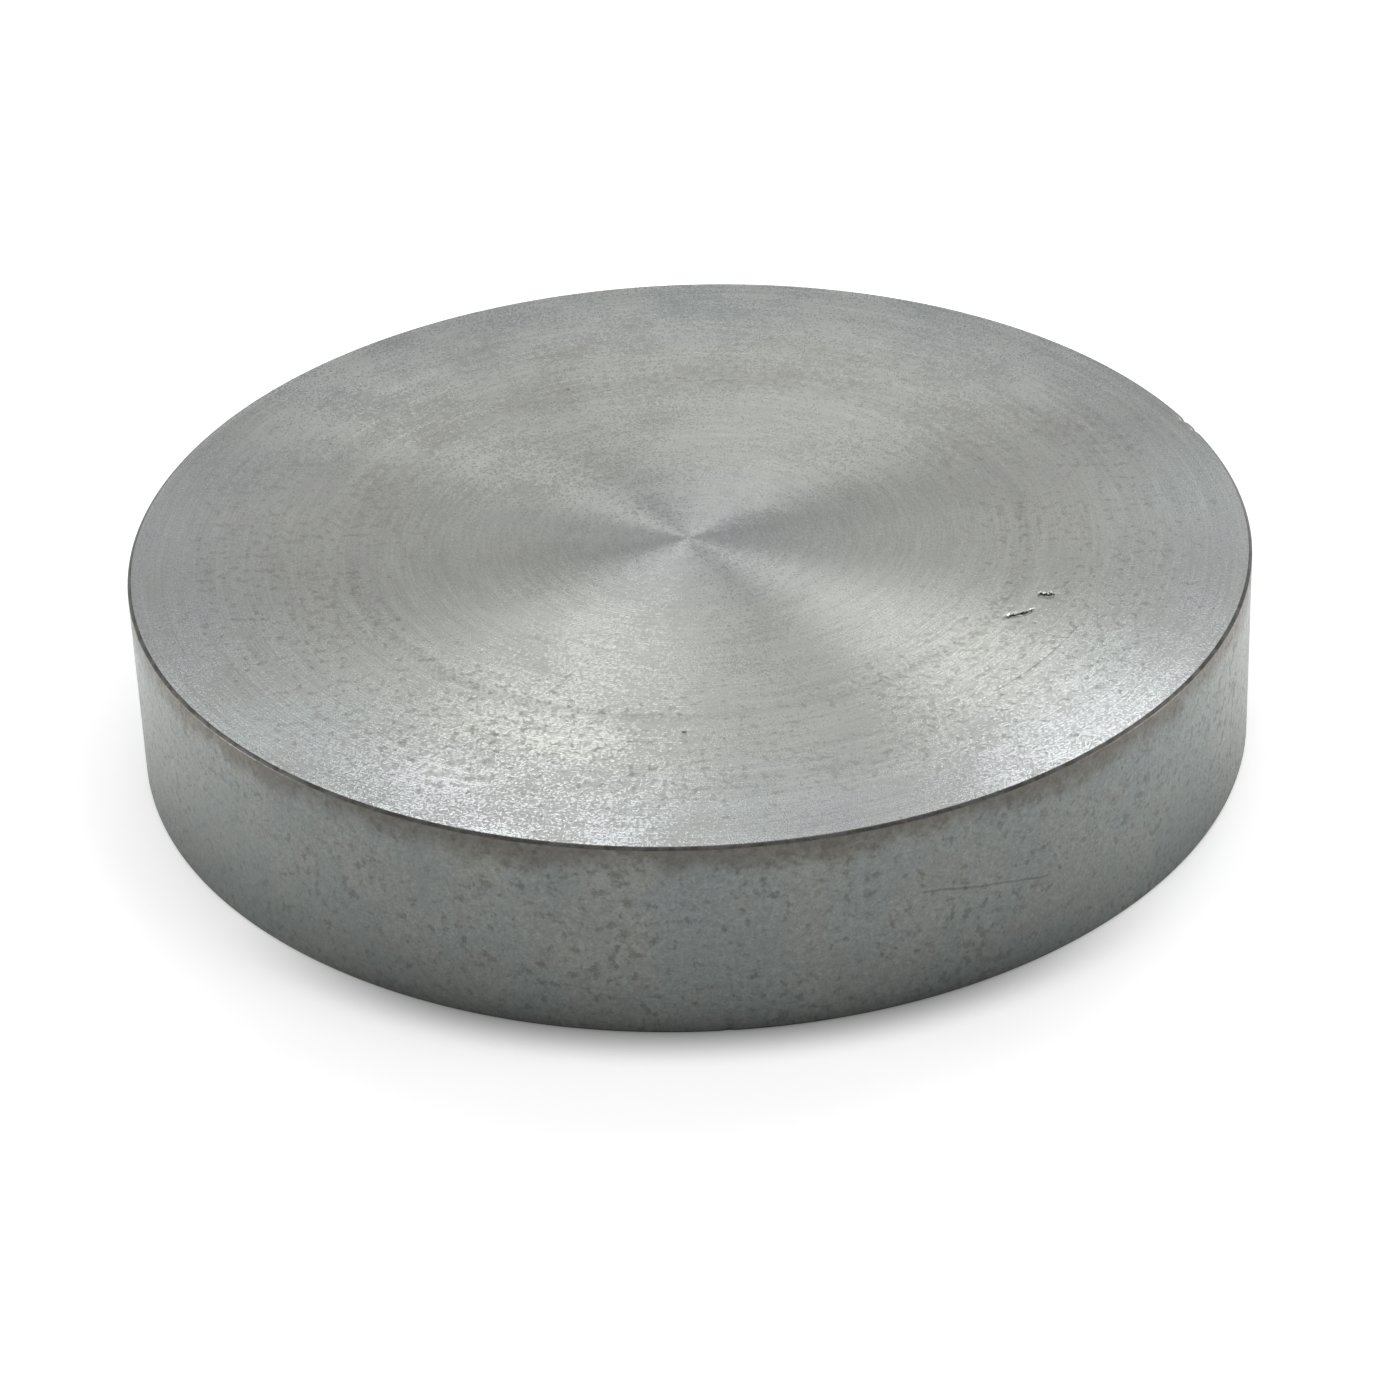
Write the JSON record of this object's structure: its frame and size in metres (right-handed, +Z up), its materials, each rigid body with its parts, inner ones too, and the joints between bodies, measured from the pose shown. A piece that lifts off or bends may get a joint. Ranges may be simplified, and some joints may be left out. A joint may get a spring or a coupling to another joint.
{
  "type": "blind flange",
  "caption": "Plain round steel disc with turned flat faces and a straight rim, clamped over the end of a pipe to close it.",
  "frame": {"origin": "centre of the lower face, on the turning axis", "axes": "+Z up along the turning axis, from the lower face to the upper face; X and Y are free, because the disc is round"},
  "size_m": [0.06, 0.06, 0.011],
  "materials": {
    "turned_steel": "turned bare carbon steel, dull grey with fine concentric tool marks and light brown staining"
  },
  "bodies": {
    "root": {"flange_disc": "turned_steel"}
  },
  "joints": []
}
